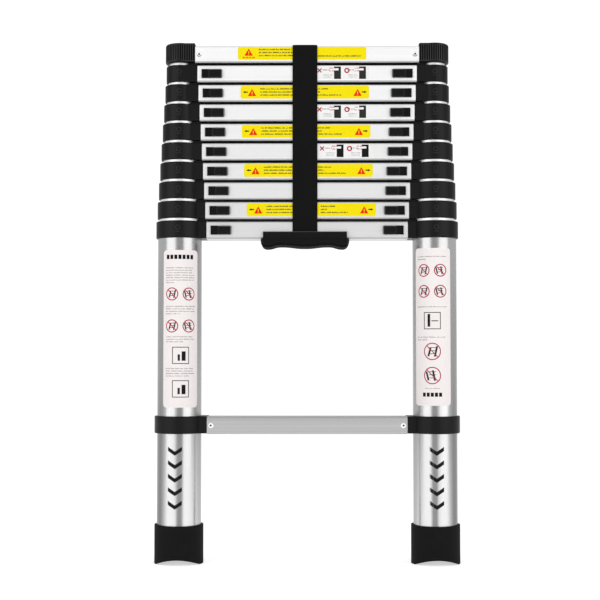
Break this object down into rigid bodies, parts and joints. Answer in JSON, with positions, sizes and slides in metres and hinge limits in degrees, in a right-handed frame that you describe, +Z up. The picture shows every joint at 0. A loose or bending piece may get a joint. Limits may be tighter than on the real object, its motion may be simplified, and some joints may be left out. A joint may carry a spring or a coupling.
{
  "type": "telescoping ladder",
  "caption": "Collapsed telescoping ladder with nested aluminium tubes, boxed rungs, thumb slides, rubber feet and a carrying strap.",
  "frame": {"origin": "on the floor midway between the two feet", "axes": "+Z up along the stiles, +X across the ladder to the right seen from the front, front face with the thumb slides towards -Y"},
  "size_m": [0.4628, 0.075, 0.7872],
  "materials": {
    "tube_aluminium": "anodised, satin",
    "rung_aluminium": "brushed along its length",
    "collar_plastic": "satin moulded",
    "slide_plastic": "satin moulded",
    "foot_rubber": "matte",
    "rivet_steel": "zinc plated",
    "handle_plastic": "satin moulded",
    "strap_webbing": "woven webbing"
  },
  "bodies": {
    "base_section": {"foot_left": "foot_rubber", "foot_right": "foot_rubber", "stile_tubes_1": "tube_aluminium", "rung_1": "rung_aluminium", "rung_clamps": "collar_plastic", "rivets_bottom": "rivet_steel", "rung_2": "rung_aluminium", "collars_2": "collar_plastic", "carry_handle": "handle_plastic"},
    "section_2": {"stile_tubes_2": "tube_aluminium", "rung_3": "rung_aluminium", "collars_3": "collar_plastic"},
    "section_3": {"stile_tubes_3": "tube_aluminium", "rung_4": "rung_aluminium", "collars_4": "collar_plastic"},
    "section_4": {"stile_tubes_4": "tube_aluminium", "rung_5": "rung_aluminium", "collars_5": "collar_plastic"},
    "section_5": {"stile_tubes_5": "tube_aluminium", "rung_6": "rung_aluminium", "collars_6": "collar_plastic"},
    "section_6": {"stile_tubes_6": "tube_aluminium", "rung_7": "rung_aluminium", "collars_7": "collar_plastic"},
    "section_7": {"stile_tubes_7": "tube_aluminium", "rung_8": "rung_aluminium", "collars_8": "collar_plastic"},
    "section_8": {"stile_tubes_8": "tube_aluminium", "rung_9": "rung_aluminium", "collars_9": "collar_plastic"},
    "section_9": {"stile_tubes_9": "tube_aluminium", "rung_10": "rung_aluminium", "collars_10": "collar_plastic"},
    "section_10": {"stile_tubes_10": "tube_aluminium", "rung_11": "rung_aluminium", "end_caps_and_plugs": "collar_plastic", "rivets_top": "rivet_steel"},
    "slide_2_right": {"lock_slide_2_right": "slide_plastic"},
    "slide_2_left": {"lock_slide_2_left": "slide_plastic"},
    "slide_3_right": {"lock_slide_3_right": "slide_plastic"},
    "slide_3_left": {"lock_slide_3_left": "slide_plastic"},
    "slide_4_right": {"lock_slide_4_right": "slide_plastic"},
    "slide_4_left": {"lock_slide_4_left": "slide_plastic"},
    "slide_5_right": {"lock_slide_5_right": "slide_plastic"},
    "slide_5_left": {"lock_slide_5_left": "slide_plastic"},
    "slide_6_right": {"lock_slide_6_right": "slide_plastic"},
    "slide_6_left": {"lock_slide_6_left": "slide_plastic"},
    "slide_7_right": {"lock_slide_7_right": "slide_plastic"},
    "slide_7_left": {"lock_slide_7_left": "slide_plastic"},
    "slide_8_right": {"lock_slide_8_right": "slide_plastic"},
    "slide_8_left": {"lock_slide_8_left": "slide_plastic"},
    "slide_9_right": {"lock_slide_9_right": "slide_plastic"},
    "slide_9_left": {"lock_slide_9_left": "slide_plastic"},
    "slide_10_right": {"lock_slide_10_right": "slide_plastic"},
    "slide_10_left": {"lock_slide_10_left": "slide_plastic"},
    "strap": {"carry_strap": "strap_webbing"}
  },
  "joints": [
    {"name": "extend_section_2", "type": "slide", "parent": "base_section", "child": "section_2", "axis": [0, 0, 1], "range_m": [0, 0.2642]},
    {"name": "extend_section_3", "type": "slide", "parent": "section_2", "child": "section_3", "axis": [0, 0, 1], "range_m": [0, 0.2642]},
    {"name": "extend_section_4", "type": "slide", "parent": "section_3", "child": "section_4", "axis": [0, 0, 1], "range_m": [0, 0.2642]},
    {"name": "extend_section_5", "type": "slide", "parent": "section_4", "child": "section_5", "axis": [0, 0, 1], "range_m": [0, 0.2642]},
    {"name": "extend_section_6", "type": "slide", "parent": "section_5", "child": "section_6", "axis": [0, 0, 1], "range_m": [0, 0.2642]},
    {"name": "extend_section_7", "type": "slide", "parent": "section_6", "child": "section_7", "axis": [0, 0, 1], "range_m": [0, 0.2642]},
    {"name": "extend_section_8", "type": "slide", "parent": "section_7", "child": "section_8", "axis": [0, 0, 1], "range_m": [0, 0.2642]},
    {"name": "extend_section_9", "type": "slide", "parent": "section_8", "child": "section_9", "axis": [0, 0, 1], "range_m": [0, 0.2642]},
    {"name": "extend_section_10", "type": "slide", "parent": "section_9", "child": "section_10", "axis": [0, 0, 1], "range_m": [0, 0.2642]},
    {"name": "press_slide_2_right", "type": "slide", "parent": "base_section", "child": "slide_2_right", "axis": [-1, 0, 0], "range_m": [0, 0.006], "stiffness_N_per_m": 500, "springref_m": -0.01},
    {"name": "press_slide_2_left", "type": "slide", "parent": "base_section", "child": "slide_2_left", "axis": [1, 0, 0], "range_m": [0, 0.006], "stiffness_N_per_m": 500, "springref_m": -0.01},
    {"name": "press_slide_3_right", "type": "slide", "parent": "section_2", "child": "slide_3_right", "axis": [-1, 0, 0], "range_m": [0, 0.006], "stiffness_N_per_m": 500, "springref_m": -0.01},
    {"name": "press_slide_3_left", "type": "slide", "parent": "section_2", "child": "slide_3_left", "axis": [1, 0, 0], "range_m": [0, 0.006], "stiffness_N_per_m": 500, "springref_m": -0.01},
    {"name": "press_slide_4_right", "type": "slide", "parent": "section_3", "child": "slide_4_right", "axis": [-1, 0, 0], "range_m": [0, 0.006], "stiffness_N_per_m": 500, "springref_m": -0.01},
    {"name": "press_slide_4_left", "type": "slide", "parent": "section_3", "child": "slide_4_left", "axis": [1, 0, 0], "range_m": [0, 0.006], "stiffness_N_per_m": 500, "springref_m": -0.01},
    {"name": "press_slide_5_right", "type": "slide", "parent": "section_4", "child": "slide_5_right", "axis": [-1, 0, 0], "range_m": [0, 0.006], "stiffness_N_per_m": 500, "springref_m": -0.01},
    {"name": "press_slide_5_left", "type": "slide", "parent": "section_4", "child": "slide_5_left", "axis": [1, 0, 0], "range_m": [0, 0.006], "stiffness_N_per_m": 500, "springref_m": -0.01},
    {"name": "press_slide_6_right", "type": "slide", "parent": "section_5", "child": "slide_6_right", "axis": [-1, 0, 0], "range_m": [0, 0.006], "stiffness_N_per_m": 500, "springref_m": -0.01},
    {"name": "press_slide_6_left", "type": "slide", "parent": "section_5", "child": "slide_6_left", "axis": [1, 0, 0], "range_m": [0, 0.006], "stiffness_N_per_m": 500, "springref_m": -0.01},
    {"name": "press_slide_7_right", "type": "slide", "parent": "section_6", "child": "slide_7_right", "axis": [-1, 0, 0], "range_m": [0, 0.006], "stiffness_N_per_m": 500, "springref_m": -0.01},
    {"name": "press_slide_7_left", "type": "slide", "parent": "section_6", "child": "slide_7_left", "axis": [1, 0, 0], "range_m": [0, 0.006], "stiffness_N_per_m": 500, "springref_m": -0.01},
    {"name": "press_slide_8_right", "type": "slide", "parent": "section_7", "child": "slide_8_right", "axis": [-1, 0, 0], "range_m": [0, 0.006], "stiffness_N_per_m": 500, "springref_m": -0.01},
    {"name": "press_slide_8_left", "type": "slide", "parent": "section_7", "child": "slide_8_left", "axis": [1, 0, 0], "range_m": [0, 0.006], "stiffness_N_per_m": 500, "springref_m": -0.01},
    {"name": "press_slide_9_right", "type": "slide", "parent": "section_8", "child": "slide_9_right", "axis": [-1, 0, 0], "range_m": [0, 0.006], "stiffness_N_per_m": 500, "springref_m": -0.01},
    {"name": "press_slide_9_left", "type": "slide", "parent": "section_8", "child": "slide_9_left", "axis": [1, 0, 0], "range_m": [0, 0.006], "stiffness_N_per_m": 500, "springref_m": -0.01},
    {"name": "press_slide_10_right", "type": "slide", "parent": "section_9", "child": "slide_10_right", "axis": [-1, 0, 0], "range_m": [0, 0.006], "stiffness_N_per_m": 500, "springref_m": -0.01},
    {"name": "press_slide_10_left", "type": "slide", "parent": "section_9", "child": "slide_10_left", "axis": [1, 0, 0], "range_m": [0, 0.006], "stiffness_N_per_m": 500, "springref_m": -0.01},
    {"name": "strap_lift_off", "type": "slide", "parent": "section_10", "child": "strap", "axis": [0, 0, 1], "range_m": [0, 0.3]}
  ]
}
